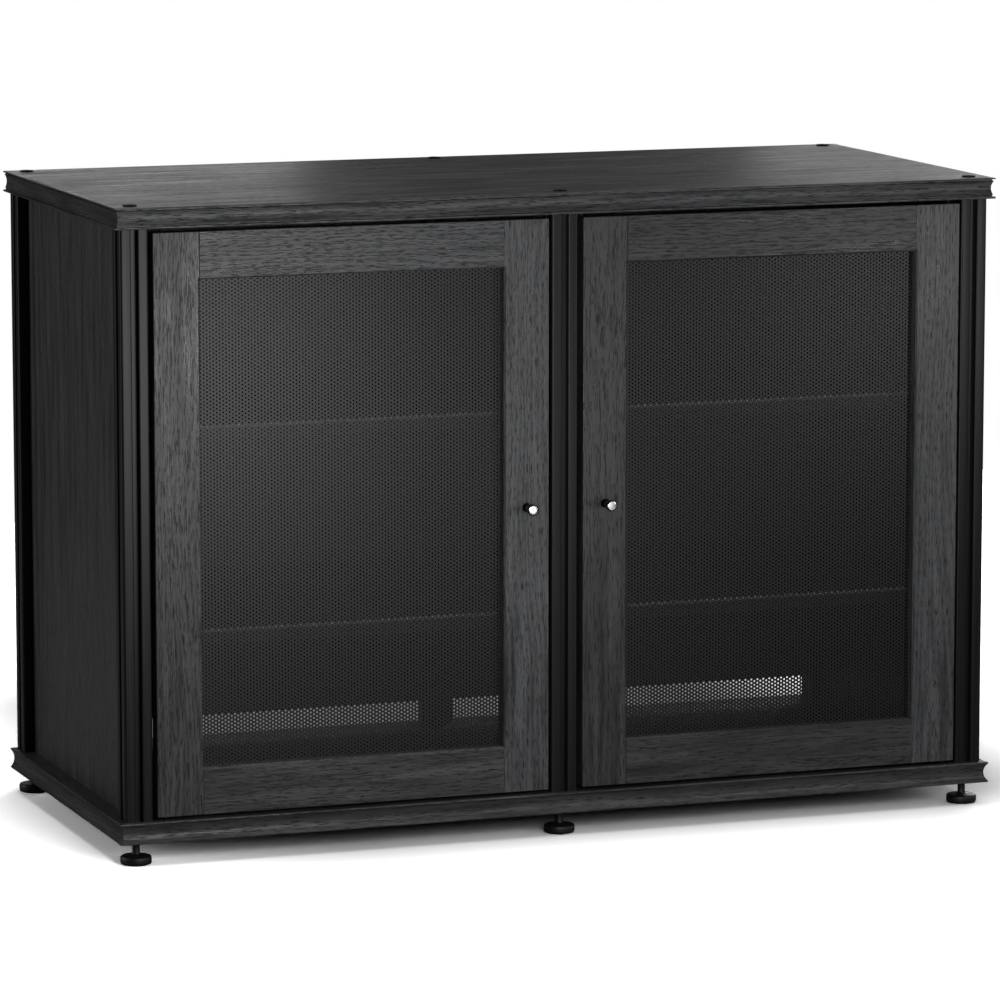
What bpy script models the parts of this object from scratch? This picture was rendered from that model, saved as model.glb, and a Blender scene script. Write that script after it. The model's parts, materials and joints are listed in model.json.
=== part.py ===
"""Media cabinet: two mesh-fronted doors in a case of slotted aluminium posts between coved boards.

Metres, +Z up, the front faces -Y. The origin is on the floor under the middle of the bounding box.
"""

import math

import bmesh
import bpy
from mathutils import Matrix

# Driving dimensions of the case.
WIDTH = 1.1335
DEPTH = 0.508
BOARD_THICK = 0.026
POST_LENGTH = 0.7112
POST_SIDE = 0.035
POST_SPACING = 0.5412
LIP_OVERHANG = 0.008
REAR_INSET = 0.002
FOOT_HEIGHT = 0.028
GAP = 0.0003

# Driving dimensions of the doors.
DOOR_WIDTH = 0.4975
DOOR_THICK = 0.020
DOOR_PROUD = 0.004
DOOR_END_GAP = 0.0046
HINGE_GAP = 0.004
FRAME_WIDTH = 0.0575
PIVOT_INSET = 0.012
PIVOT_DEPTH = 0.009
KNOB_LENGTH = 0.0245

# Sections.
LIPPING = 0.0075
LIP_HEIGHT = 0.0018
COVE_DEPTH = 0.0047
COVE_SEGMENTS = 8
SLOT_WIDTH = 0.008
SLOT_DEPTH = 0.0085
SLOT_CHAMFER = 0.0018
POST_CORNER = 0.003
PANEL_THICK = SLOT_WIDTH - 2 * GAP
PANEL_SEAT = SLOT_DEPTH - GAP
EASED_EDGE = 0.0008
FRAME_BEVEL = 0.0022
GROOVE_DEPTH = 0.008
MESH_SETBACK = 0.0133
MESH_THICK = 0.0012

# Shelves, their rails and the slot below the back panels.
SHELF_THICK = 0.019
SHELF_TOPS = {"lower": 0.222, "upper": 0.469}
SHELF_GAP = 0.0015
RAIL_WIDTH = 0.012
RAIL_HEIGHT = 0.016
CENTRE_RAIL_WIDTH = 0.030
BACK_SLOT_HEIGHT = 0.030

# Levels, from the floor up.
BAY_FLOOR_Z = FOOT_HEIGHT + BOARD_THICK
BAY_ROOF_Z = BAY_FLOOR_Z + POST_LENGTH
TOP_Z = BAY_ROOF_Z + BOARD_THICK
DOOR_LOW_Z = BAY_FLOOR_Z + DOOR_END_GAP
DOOR_HIGH_Z = BAY_ROOF_Z - DOOR_END_GAP

# Places from front to back. The knobs reach past the front lip, so the case sits behind the middle.
KNOB_PROUD = KNOB_LENGTH + DOOR_PROUD - LIP_OVERHANG
FRONT_Y = (KNOB_PROUD - DEPTH) / 2
BACK_Y = FRONT_Y + DEPTH
POST_FRONT_Y = FRONT_Y + LIP_OVERHANG
FRONT_POST_Y = POST_FRONT_Y + POST_SIDE / 2
REAR_POST_Y = BACK_Y - REAR_INSET - POST_SIDE / 2
DOOR_FRONT_Y = POST_FRONT_Y - DOOR_PROUD
PIVOT_Y = DOOR_FRONT_Y + PIVOT_DEPTH

# Fasteners, feet and catches.
BOLT_RADIUS = 0.004
BOLT_HEAD_RADIUS = 0.0085
BOLT_HEAD_HEIGHT = 0.0013
BOLT_REACH = 0.040
STUD_RADIUS = 0.004
STUD_REACH = 0.015
FOOT_RADIUS = 0.019
PIN_RADIUS = 0.003
PIN_SEAT = 0.020
PIN_REACH = 0.010
CATCH_LENGTH = 0.040
CATCH_SIDE = 0.012
STRIKE_THICK = 0.0012

# Facets round the turned pieces.
HOLE_SIDES = 12
TURNED_SIDES = 24

SIDES = {"left": -1, "right": 1}


# Scene, materials and placing.


def clear_scene():
    for old in list(bpy.data.objects):
        bpy.data.objects.remove(old, do_unlink=True)


def new_collection(name):
    collection = bpy.data.collections.new(name)
    bpy.context.scene.collection.children.link(collection)
    return collection


def finish(name, colour, roughness, metallic=0.0):
    material = bpy.data.materials.new(name)
    material.use_nodes = True
    shader = material.node_tree.nodes["Principled BSDF"]
    shader.inputs["Base Color"].default_value = (*colour, 1.0)
    shader.inputs["Roughness"].default_value = roughness
    shader.inputs["Metallic"].default_value = metallic
    return material


def add_part(name, mesh, material, parent=None, location=(0.0, 0.0, 0.0)):
    """Place a mesh as a named part. Location is in the world, or from the parent empty."""
    mesh.name = name
    part = bpy.data.objects.new(name, mesh)
    parts.objects.link(part)
    part.location = location
    part.parent = parent
    mesh.materials.clear()
    mesh.materials.append(material)
    return part


def add_cutter(name, mesh, parent=None):
    cutter = bpy.data.objects.new(name, mesh)
    cutters.objects.link(cutter)
    cutter.parent = parent
    cutter.hide_render = True
    cutter.display_type = "WIRE"
    return cutter


def cut(part, cutter, operation="DIFFERENCE"):
    modifier = part.modifiers.new(cutter.name, "BOOLEAN")
    modifier.operation = operation
    modifier.solver = "EXACT"
    modifier.object = cutter


def evaluated_mesh(guide):
    """The mesh that a guide object and its modifiers give, with the guide removed."""
    bpy.context.view_layer.update()
    graph = bpy.context.evaluated_depsgraph_get()
    mesh = bpy.data.meshes.new_from_object(guide.evaluated_get(graph))
    bpy.data.objects.remove(guide, do_unlink=True)
    return mesh


# Shapes.


def box_mesh(corner, opposite, soften=0.0, along="XYZ"):
    """A box between two opposite corners, with its edges along the named axes eased."""
    shape = bmesh.new()
    bmesh.ops.create_cube(shape, size=1.0)
    for vert in shape.verts:
        ends = [(min(pair), max(pair)) for pair in zip(corner, opposite)]
        vert.co = [high if place > 0 else low for (low, high), place in zip(ends, vert.co)]
    if soften:
        edges = []
        for edge in shape.edges:
            run = edge.verts[1].co - edge.verts[0].co
            longest = max(range(3), key=lambda axis: abs(run[axis]))
            if "XYZ"[longest] in along:
                edges.append(edge)
        bmesh.ops.bevel(shape, geom=edges, offset=soften, segments=2, affect="EDGES", profile=0.5)
    mesh = bpy.data.meshes.new("box")
    shape.to_mesh(mesh)
    shape.free()
    return mesh


def prism_mesh(outline, length):
    """An outline of (across, up) points in the YZ plane, extruded evenly to both sides along X."""
    shape = bmesh.new()
    face = shape.faces.new([shape.verts.new((-length / 2, across, up)) for across, up in outline])
    grown = bmesh.ops.extrude_face_region(shape, geom=[face])["geom"]
    far_end = [item for item in grown if isinstance(item, bmesh.types.BMVert)]
    bmesh.ops.translate(shape, verts=far_end, vec=(length, 0.0, 0.0))
    bmesh.ops.recalc_face_normals(shape, faces=shape.faces)
    mesh = bpy.data.meshes.new("prism")
    shape.to_mesh(mesh)
    shape.free()
    return mesh


def turned_mesh(outline, sides):
    """A (radius, height) outline turned round Z, from the top of the axis down the outside to its foot."""
    profile = bpy.data.meshes.new("profile")
    edges = [(index, index + 1) for index in range(len(outline) - 1)]
    profile.from_pydata([(radius, 0.0, height) for radius, height in outline], edges, [])
    guide = bpy.data.objects.new("profile", profile)
    cutters.objects.link(guide)
    screw = guide.modifiers.new("Screw", "SCREW")
    screw.angle = math.tau
    screw.steps = sides
    screw.render_steps = sides
    screw.use_merge_vertices = True
    screw.merge_threshold = 0.00001
    mesh = evaluated_mesh(guide)
    mesh.shade_smooth()
    mesh.set_sharp_from_angle(angle=math.radians(35))
    return mesh


def cylinder_mesh(radius, low, high, sides):
    return turned_mesh([(0.0, high), (radius, high), (radius, low), (0.0, low)], sides)


def group_mesh(items):
    """One mesh of several separate shapes, from (mesh, matrix) pairs."""
    shape = bmesh.new()
    for mesh, matrix in items:
        placed = mesh.copy()
        placed.transform(matrix)
        shape.from_mesh(placed)
        bpy.data.meshes.remove(placed)
    group = bpy.data.meshes.new("group")
    shape.to_mesh(group)
    shape.free()
    return group


def at(x, y, z=0.0):
    return Matrix.Translation((x, y, z))


# Places that several pieces share.


def post_places():
    """(row, column, x, y) of each post, bolt and foot."""
    for row, y in (("front", FRONT_POST_Y), ("rear", REAR_POST_Y)):
        for column, step in (("left", -1), ("centre", 0), ("right", 1)):
            yield row, column, step * POST_SPACING, y


def hinge_edge_x(side):
    """The door's edge beside its outer post."""
    return side * (POST_SPACING - POST_SIDE / 2 - HINGE_GAP)


def pivot_x(side):
    return hinge_edge_x(side) - side * PIVOT_INSET


# Boards and their coved mouldings.


def moulding_outline():
    """(outward, up) points: a flat lip at the bottom and top with a hollow cove between them."""
    chord = BOARD_THICK - 2 * LIP_HEIGHT
    radius = ((chord / 2) ** 2 + COVE_DEPTH**2) / (2 * COVE_DEPTH)
    half_angle = math.asin(chord / 2 / radius)
    lower = [(GAP - LIPPING, 0.0), (-0.001, 0.0), (-0.0003, 0.0003), (0.0, 0.001)]
    cove = []
    for step in range(COVE_SEGMENTS + 1):
        angle = half_angle * (2 * step / COVE_SEGMENTS - 1)
        outward = radius * (math.cos(half_angle) - math.cos(angle))
        cove.append((outward, BOARD_THICK / 2 + radius * math.sin(angle)))
    upper = [(outward, BOARD_THICK - up) for outward, up in reversed(lower)]
    return lower + cove + upper


def front_moulding_mesh(low_z):
    """Runs along X. Each point's outward distance also moves it along X at the ends, which mitres them."""
    mesh = prism_mesh(moulding_outline(), WIDTH)
    for vert in mesh.vertices:
        outward = vert.co.y
        end = math.copysign(WIDTH / 2 + outward - GAP, vert.co.x)
        vert.co = (end, FRONT_Y - outward, low_z + vert.co.z)
    mesh.flip_normals()
    return mesh


def side_moulding_mesh(side, low_z):
    """Runs along Y, from its mitre at the front corner to a square cut at the back."""
    mesh = prism_mesh(moulding_outline(), DEPTH)
    for vert in mesh.vertices:
        outward = vert.co.y
        end = BACK_Y if vert.co.x > 0 else FRONT_Y - outward + GAP
        vert.co = (side * (WIDTH / 2 + outward), end, low_z + vert.co.z)
    if side > 0:
        mesh.flip_normals()
    return mesh


def build_board(name, low_z, hole_cutter):
    core = box_mesh(
        (LIPPING - WIDTH / 2, FRONT_Y + LIPPING, low_z),
        (WIDTH / 2 - LIPPING, BACK_Y, low_z + BOARD_THICK),
    )
    cut(add_part(f"{name}_board", core, black_oak), hole_cutter)
    add_part(f"{name}_front_moulding", front_moulding_mesh(low_z), black_oak)
    for side_name, side in SIDES.items():
        add_part(f"{name}_{side_name}_moulding", side_moulding_mesh(side, low_z), black_oak)


def build_boards():
    """The top board is drilled for the bolts, the bottom one for the feet, and both for the door pins."""
    bolt_hole = cylinder_mesh(BOLT_RADIUS + GAP, -BOARD_THICK, 2 * BOARD_THICK, HOLE_SIDES)
    stud_hole = cylinder_mesh(STUD_RADIUS + 2 * GAP, -BOARD_THICK, 2 * BOARD_THICK, HOLE_SIDES)
    reach = PIN_REACH + GAP
    roof_pin_hole = cylinder_mesh(PIN_RADIUS + GAP, -BOARD_THICK, reach, HOLE_SIDES)
    floor_pin_hole = cylinder_mesh(PIN_RADIUS + GAP, -reach, BOARD_THICK, HOLE_SIDES)
    top_holes = [(bolt_hole, at(x, y, BAY_ROOF_Z)) for _, _, x, y in post_places()]
    floor_holes = [(stud_hole, at(x, y, FOOT_HEIGHT)) for _, _, x, y in post_places()]
    for side in SIDES.values():
        top_holes.append((roof_pin_hole, at(pivot_x(side), PIVOT_Y, BAY_ROOF_Z)))
        floor_holes.append((floor_pin_hole, at(pivot_x(side), PIVOT_Y, BAY_FLOOR_Z)))
    build_board("top", BAY_ROOF_Z, add_cutter("top_board_holes", group_mesh(top_holes)))
    build_board("bottom", FOOT_HEIGHT, add_cutter("bottom_board_holes", group_mesh(floor_holes)))


# Posts and their bolts.


def post_outline():
    """A square with rounded corners and a slot in each face, as one quarter turned four times."""
    half = POST_SIDE / 2
    slot = SLOT_WIDTH / 2
    centre = half - POST_CORNER
    lip = slot + SLOT_CHAMFER
    quarter = [(half - SLOT_DEPTH, slot), (half - SLOT_CHAMFER, slot), (half, lip)]
    for step in range(4):
        across = POST_CORNER * math.cos(math.pi / 6 * step)
        up = POST_CORNER * math.sin(math.pi / 6 * step)
        quarter.append((centre + across, centre + up))
    quarter += [(lip, half), (slot, half - SLOT_CHAMFER), (slot, half - SLOT_DEPTH)]
    outline = []
    for cosine, sine in ((1, 0), (0, 1), (-1, 0), (0, -1)):
        outline += [(x * cosine - y * sine, x * sine + y * cosine) for x, y in quarter]
    return outline


def post_mesh():
    """The extruded section: the slotted outline, and the fastener bore as a hole inside it."""
    bore = STUD_RADIUS + 2 * GAP
    angles = [math.tau * step / HOLE_SIDES for step in range(HOLE_SIDES)]
    circle = [(bore * math.cos(angle), bore * math.sin(angle)) for angle in angles]
    curve = bpy.data.curves.new("post_section", "CURVE")
    curve.dimensions = "2D"
    curve.fill_mode = "BOTH"
    curve.extrude = POST_LENGTH / 2 - GAP
    for outline in (post_outline(), circle):
        spline = curve.splines.new("POLY")
        spline.points.add(len(outline) - 1)
        for point, (x, y) in zip(spline.points, outline):
            point.co = (x, y, 0.0, 1.0)
        spline.use_cyclic_u = True
    section = bpy.data.objects.new("post_section", curve)
    cutters.objects.link(section)
    mesh = evaluated_mesh(section)
    shape = bmesh.new()
    shape.from_mesh(mesh)
    bmesh.ops.remove_doubles(shape, verts=shape.verts, dist=0.00001)
    bmesh.ops.recalc_face_normals(shape, faces=shape.faces)
    shape.to_mesh(mesh)
    shape.free()
    return mesh


def build_posts():
    shared = post_mesh()
    middle_z = BAY_FLOOR_Z + POST_LENGTH / 2
    for row, column, x, y in post_places():
        add_part(f"post_{row}_{column}", shared, black_anodised, location=(x, y, middle_z))


def build_post_bolts():
    """Bolts with a thin round head that shows on the top board. Their shanks go down into the posts."""
    head_low = TOP_Z + GAP
    head_high = head_low + BOLT_HEAD_HEIGHT
    bolt = turned_mesh(
        [
            (0.0, head_high),
            (BOLT_HEAD_RADIUS - 0.0008, head_high),
            (BOLT_HEAD_RADIUS, head_high - 0.0006),
            (BOLT_HEAD_RADIUS, head_low),
            (BOLT_RADIUS, head_low),
            (BOLT_RADIUS, BAY_ROOF_Z - BOLT_REACH),
            (0.0, BAY_ROOF_Z - BOLT_REACH),
        ],
        TURNED_SIDES,
    )
    for row, column, x, y in post_places():
        add_part(f"post_bolt_{row}_{column}", bolt, black_steel, location=(x, y, 0.0))


# Panels, shelves and rails.


def build_panels():
    """Side panels stand in the slots between front and rear posts, back panels between the rear posts."""
    low_z = BAY_FLOOR_Z + GAP
    high_z = BAY_ROOF_Z - GAP
    seat = POST_SIDE / 2 - PANEL_SEAT
    half = PANEL_THICK / 2
    for name, side in SIDES.items():
        x = side * POST_SPACING
        side_panel = box_mesh(
            (x - half, FRONT_POST_Y + seat, low_z), (x + half, REAR_POST_Y - seat, high_z)
        )
        add_part(f"{name}_side_panel", side_panel, black_oak)
        back_panel = box_mesh(
            (side * seat, REAR_POST_Y - half, BAY_FLOOR_Z + BACK_SLOT_HEIGHT),
            (side * (POST_SPACING - seat), REAR_POST_Y + half, high_z),
        )
        add_part(f"{name}_back_panel", back_panel, black_oak)


def build_shelves():
    """Each shelf lies on a rail along its side panel and on a rail between the two centre posts."""
    front = FRONT_POST_Y + POST_SIDE / 2
    back = REAR_POST_Y - POST_SIDE / 2
    panel_face = POST_SPACING - PANEL_THICK / 2
    tongue = SLOT_WIDTH / 2 - GAP
    for level, height in SHELF_TOPS.items():
        top = BAY_FLOOR_Z + height
        rail_top = top - SHELF_THICK - GAP
        rail_low = rail_top - RAIL_HEIGHT
        for bay, side in SIDES.items():
            shelf = box_mesh(
                (side * SHELF_GAP, front + SHELF_GAP, top - SHELF_THICK),
                (side * (panel_face - SHELF_GAP), back - SHELF_GAP, top),
                soften=EASED_EDGE,
            )
            add_part(f"{bay}_{level}_shelf", shelf, black_oak)
            outer = side * (panel_face - GAP)
            rail = box_mesh(
                (outer, front + GAP, rail_low),
                (outer - side * RAIL_WIDTH, back - GAP, rail_top),
                soften=EASED_EDGE,
            )
            add_part(f"{bay}_{level}_shelf_rail", rail, black_oak)
        half = CENTRE_RAIL_WIDTH / 2
        rail = box_mesh((-half, front + GAP, rail_low), (half, back - GAP, rail_top))
        tenon = box_mesh((-tongue, front - PANEL_SEAT, rail_low), (tongue, back + PANEL_SEAT, rail_top))
        centre_rail = add_part(f"centre_{level}_shelf_rail", rail, black_oak)
        cut(centre_rail, add_cutter(f"centre_{level}_rail_tongues", tenon), operation="UNION")


# Doors.


def knob_mesh():
    """A slim neck that flares to a flat face, with its own stud behind, pointing along +Z."""
    return turned_mesh(
        [
            (0.0, KNOB_LENGTH),
            (0.0058, KNOB_LENGTH),
            (0.0066, KNOB_LENGTH - 0.0008),
            (0.0068, KNOB_LENGTH - 0.0030),
            (0.0062, KNOB_LENGTH - 0.0065),
            (0.0044, 0.0100),
            (0.0040, 0.0050),
            (0.0048, 0.0015),
            (0.0055, GAP),
            (0.0020, GAP),
            (0.0020, 0.0030 - DOOR_THICK),
            (0.0, 0.0030 - DOOR_THICK),
        ],
        TURNED_SIDES,
    )


def build_door(name, side):
    """One door, hung on an empty that stands on its pivot axis."""
    pivot = bpy.data.objects.new(f"{name}_door_pivot", None)
    parts.objects.link(pivot)
    pivot.location = (pivot_x(side), PIVOT_Y, 0.0)

    def place(inward, back, z):
        """From (distance in from the hinge edge, distance behind the door's front, height) to the empty."""
        return (-side * (inward - PIVOT_INSET), back - PIVOT_DEPTH, z)

    def add_box(part, low, high, material, soften=0.0, along="XYZ"):
        mesh = box_mesh(place(*low), place(*high), soften, along)
        return add_part(f"{name}_door_{part}", mesh, material, pivot)

    inner = DOOR_WIDTH - FRAME_WIDTH
    window_low_z = DOOR_LOW_Z + FRAME_WIDTH
    window_high_z = DOOR_HIGH_Z - FRAME_WIDTH
    middle_z = (DOOR_LOW_Z + DOOR_HIGH_Z) / 2

    def window_box(margin, front, back):
        low = place(FRAME_WIDTH - margin, front, window_low_z - margin)
        high = place(inner + margin, back, window_high_z + margin)
        return box_mesh(low, high)

    groove_mesh = window_box(GROOVE_DEPTH, MESH_SETBACK - GAP, MESH_SETBACK + MESH_THICK + GAP)
    groove = add_cutter(f"{name}_door_groove", groove_mesh, pivot)
    bevel_mesh = window_box(0.0, -FRAME_BEVEL, FRAME_BEVEL)
    centre_x = place(DOOR_WIDTH / 2, 0.0, 0.0)[0]
    for vert in bevel_mesh.vertices:
        if vert.co.y < -PIVOT_DEPTH:
            vert.co.x += math.copysign(2 * FRAME_BEVEL, vert.co.x - centre_x)
            vert.co.z += math.copysign(2 * FRAME_BEVEL, vert.co.z - middle_z)
    bevel = add_cutter(f"{name}_door_window_bevel", bevel_mesh, pivot)

    upright = at(0.0, 0.0, DOOR_HIGH_Z)
    hanging = at(0.0, 0.0, DOOR_LOW_Z) @ Matrix.Rotation(math.pi, 4, "X")
    pin_hole = cylinder_mesh(PIN_RADIUS + GAP, -PIN_SEAT - GAP, PIN_SEAT, HOLE_SIDES)
    both_holes = group_mesh([(pin_hole, upright), (pin_hole, hanging)])
    pin_holes = add_cutter(f"{name}_door_pin_holes", both_holes, pivot)
    knob_seat = Matrix.Translation(place(DOOR_WIDTH - FRAME_WIDTH / 2, 0.0, middle_z))
    knob_seat = knob_seat @ Matrix.Rotation(math.pi / 2, 4, "X")
    stud_hole = cylinder_mesh(0.0020 + GAP, 0.0025 - DOOR_THICK, DOOR_THICK, TURNED_SIDES)
    stud_hole.transform(knob_seat)
    knob_hole = add_cutter(f"{name}_door_knob_hole", stud_hole, pivot)

    stile_low = (0.0, 0.0, DOOR_LOW_Z)
    stile_high = (FRAME_WIDTH, DOOR_THICK, DOOR_HIGH_Z)
    hinge_stile = add_box("hinge_stile", stile_low, stile_high, black_oak, EASED_EDGE)
    stile_low = (inner, 0.0, DOOR_LOW_Z)
    stile_high = (DOOR_WIDTH, DOOR_THICK, DOOR_HIGH_Z)
    latch_stile = add_box("latch_stile", stile_low, stile_high, black_oak, EASED_EDGE)
    cut(hinge_stile, pin_holes)
    cut(latch_stile, knob_hole)
    frame = [hinge_stile, latch_stile]
    for part, low_z in (("bottom_rail", DOOR_LOW_Z), ("top_rail", window_high_z)):
        low = (FRAME_WIDTH + GAP, 0.0, low_z)
        high = (inner - GAP, DOOR_THICK, low_z + FRAME_WIDTH)
        frame.append(add_box(part, low, high, black_oak, EASED_EDGE, "X"))
    for piece in frame:
        cut(piece, bevel)
        cut(piece, groove)

    edge = GROOVE_DEPTH - GAP
    mesh_low = (FRAME_WIDTH - edge, MESH_SETBACK, window_low_z - edge)
    mesh_high = (inner + edge, MESH_SETBACK + MESH_THICK, window_high_z + edge)
    add_box("mesh_panel", mesh_low, mesh_high, mesh_steel)

    knob = knob_mesh()
    knob.transform(knob_seat)
    add_part(f"{name}_door_knob", knob, black_nickel, pivot)
    for label, matrix in (("top", upright), ("bottom", hanging)):
        pin = cylinder_mesh(PIN_RADIUS, -PIN_SEAT, DOOR_END_GAP + PIN_REACH, HOLE_SIDES)
        pin.transform(matrix)
        add_part(f"{name}_door_{label}_pin", pin, black_steel, pivot)

    catch_inset = CATCH_LENGTH + 0.012
    strike_low = (DOOR_WIDTH - catch_inset, DOOR_THICK + GAP, DOOR_HIGH_Z - 0.0125)
    strike_high = (DOOR_WIDTH - 0.012, DOOR_THICK + GAP + STRIKE_THICK, DOOR_HIGH_Z - 0.0015)
    add_box("strike_plate", strike_low, strike_high, zinc_steel, 0.0002)


def build_catches():
    """A magnet block under the top board, behind the latch stile of each door."""
    front = DOOR_FRONT_Y + DOOR_THICK + STRIKE_THICK + 3 * GAP
    latch_edge = POST_SPACING - POST_SIDE / 2 - HINGE_GAP - DOOR_WIDTH
    near = latch_edge + 0.012
    for name, side in SIDES.items():
        block = box_mesh(
            (side * near, front, BAY_ROOF_Z - GAP - CATCH_SIDE),
            (side * (near + CATCH_LENGTH), front + CATCH_SIDE, BAY_ROOF_Z - GAP),
            soften=0.001,
        )
        add_part(f"{name}_magnet_catch", block, black_plastic)


# Feet.


def build_feet():
    """A round pad moulded on a threaded stud, which screws up through the bottom board into its post."""
    foot = turned_mesh(
        [
            (0.0, BAY_FLOOR_Z + STUD_REACH),
            (STUD_RADIUS, BAY_FLOOR_Z + STUD_REACH),
            (STUD_RADIUS, FOOT_HEIGHT - 0.0006),
            (0.00465, FOOT_HEIGHT - 0.0012),
            (0.00465, 0.0122),
            (FOOT_RADIUS - 0.0050, 0.0116),
            (FOOT_RADIUS - 0.0010, 0.0105),
            (FOOT_RADIUS, 0.0080),
            (FOOT_RADIUS, 0.0035),
            (FOOT_RADIUS - 0.0008, 0.0012),
            (FOOT_RADIUS - 0.0030, 0.0),
            (0.0, 0.0),
        ],
        TURNED_SIDES,
    )
    for row, column, x, y in post_places():
        add_part(f"foot_{row}_{column}", foot, black_plastic, location=(x, y, 0.0))


clear_scene()
parts = new_collection("media_cabinet")
cutters = new_collection("cutters")
black_oak = finish("black_stained_oak_veneer", (0.028, 0.028, 0.029), 0.45)
black_anodised = finish("black_anodised_aluminium", (0.015, 0.015, 0.016), 0.35, 1.0)
mesh_steel = finish("black_powder_coated_steel", (0.020, 0.020, 0.021), 0.45)
black_steel = finish("black_oxide_steel", (0.030, 0.030, 0.032), 0.40, 0.6)
zinc_steel = finish("zinc_plated_steel", (0.55, 0.56, 0.58), 0.35, 1.0)
black_plastic = finish("black_moulded_nylon", (0.012, 0.012, 0.012), 0.40)
black_nickel = finish("black_nickel_with_polished_face", (0.30, 0.30, 0.31), 0.25, 1.0)
build_boards()
build_posts()
build_post_bolts()
build_panels()
build_shelves()
for door_name, door_side in SIDES.items():
    build_door(door_name, door_side)
build_catches()
build_feet()
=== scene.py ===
# %% [markdown]
# # A media cabinet in black-stained oak
#
# A low cabinet for audio and video equipment. Six slotted aluminium posts stand between two
# coved boards. Oak panels slide into the slots at the sides and the back, and two framed doors
# with perforated steel screens swing on pins in front. The engineering model of the cabinet is
# the frame that everything here is built around, so it is loaded before anything else.

# %% Load the cabinet's frame
import json
import math

import bpy
import numpy as np
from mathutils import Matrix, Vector

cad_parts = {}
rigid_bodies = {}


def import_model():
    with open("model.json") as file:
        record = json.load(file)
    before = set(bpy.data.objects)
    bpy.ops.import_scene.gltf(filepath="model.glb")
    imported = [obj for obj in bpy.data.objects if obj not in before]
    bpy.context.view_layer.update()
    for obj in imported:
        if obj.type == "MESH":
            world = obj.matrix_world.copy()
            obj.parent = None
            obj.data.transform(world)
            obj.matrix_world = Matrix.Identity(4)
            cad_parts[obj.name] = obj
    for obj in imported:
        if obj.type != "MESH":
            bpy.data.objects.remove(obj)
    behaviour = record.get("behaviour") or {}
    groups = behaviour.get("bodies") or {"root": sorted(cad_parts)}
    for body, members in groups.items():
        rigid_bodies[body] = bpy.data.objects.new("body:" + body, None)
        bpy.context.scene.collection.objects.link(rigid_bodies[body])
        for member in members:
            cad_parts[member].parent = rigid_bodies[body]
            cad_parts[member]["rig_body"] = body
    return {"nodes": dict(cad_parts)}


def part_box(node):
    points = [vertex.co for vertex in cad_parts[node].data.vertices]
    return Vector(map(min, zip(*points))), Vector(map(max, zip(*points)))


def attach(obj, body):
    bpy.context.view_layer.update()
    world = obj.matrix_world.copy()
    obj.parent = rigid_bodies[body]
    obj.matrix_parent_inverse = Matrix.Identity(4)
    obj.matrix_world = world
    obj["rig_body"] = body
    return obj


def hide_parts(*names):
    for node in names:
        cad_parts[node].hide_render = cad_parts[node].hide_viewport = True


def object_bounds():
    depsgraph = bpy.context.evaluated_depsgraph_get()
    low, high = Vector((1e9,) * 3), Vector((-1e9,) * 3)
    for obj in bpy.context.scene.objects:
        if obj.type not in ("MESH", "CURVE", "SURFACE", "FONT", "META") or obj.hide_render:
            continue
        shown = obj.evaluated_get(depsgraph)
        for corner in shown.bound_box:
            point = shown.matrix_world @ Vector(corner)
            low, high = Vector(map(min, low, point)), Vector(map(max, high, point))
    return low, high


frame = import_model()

cad_low, cad_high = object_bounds()
NODES = frame["nodes"]
print(len(NODES), "CAD nodes between", tuple(cad_low), "and", tuple(cad_high))

# %% [markdown]
# ## Two ways to make a mesh
#
# A finished piece is always arrays of points and faces. Most pieces of a cabinet are a section
# carried along a line: a moulding, an extruded post. Others are a section turned about a line:
# a knob, a foot, a bolt head. Both are one grid of points, rows of sections, so one helper joins
# neighbouring rows with quads and another puts the arrays into Blender. Working on whole arrays
# keeps the code short and fast.


# %% Grids of points to meshes
def grid_faces(rows, columns, first=0):
    """Quads that join each row of points to the next. Every row is a closed ring of columns."""
    row, column = np.meshgrid(np.arange(rows - 1), np.arange(columns), indexing="ij")
    following = (column + 1) % columns
    corners = [row * columns + column, row * columns + following]
    corners += [(row + 1) * columns + following, (row + 1) * columns + column]
    return (np.stack(corners, axis=-1).reshape(-1, 4) + first).tolist()


def swept(rings):
    """Points and faces of rings [row, column, xyz], with the first and last ring closed flat."""
    rows, columns = rings.shape[:2]
    ends = [list(range(columns))[::-1], list(range((rows - 1) * columns, rows * columns))]
    return rings.reshape(-1, 3), grid_faces(rows, columns) + ends


def turned(profile, columns):
    """Rings of a (radius, height) profile turned round Z: x = r cos a, y = r sin a, z = h."""
    angle = np.linspace(0.0, math.tau, columns, endpoint=False)
    radius, height = np.array(profile).T[:, :, None]
    return np.stack(
        [radius * np.cos(angle), radius * np.sin(angle), height + 0 * angle], axis=-1
    )


def new_piece(name, points, faces, materials, smooth_to=35.0):
    """A mesh object at the origin, smooth where it turns less than smooth_to degrees.
    Its volume is the sum of a . (b x c) / 6 over the triangles, and is negative when the faces
    point inwards, so they are then turned round."""
    points = np.asarray(points, dtype=float)
    mesh = bpy.data.meshes.new(name)
    mesh.from_pydata(points.tolist(), [], faces)
    mesh.update()
    mesh.calc_loop_triangles()
    triangles = np.empty(len(mesh.loop_triangles) * 3, np.int32)
    mesh.loop_triangles.foreach_get("vertices", triangles)
    corners = points[triangles.reshape(-1, 3)]
    across = np.cross(corners[:, 1], corners[:, 2])
    if np.einsum("ij,ij->i", corners[:, 0], across).sum() < 0:
        mesh.flip_normals()
    mesh.shade_smooth()
    mesh.set_sharp_from_angle(angle=math.radians(smooth_to))
    for material in materials:
        mesh.materials.append(material)
    piece = bpy.data.objects.new(name, mesh)
    bpy.context.scene.collection.objects.link(piece)
    return piece


def fit_piece(piece, node):
    """The piece rides on the body of the CAD node that it stands for, which is hidden."""
    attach(piece, NODES[node]["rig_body"])
    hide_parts(node)
    return piece


print("mesh helpers ready")

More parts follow.
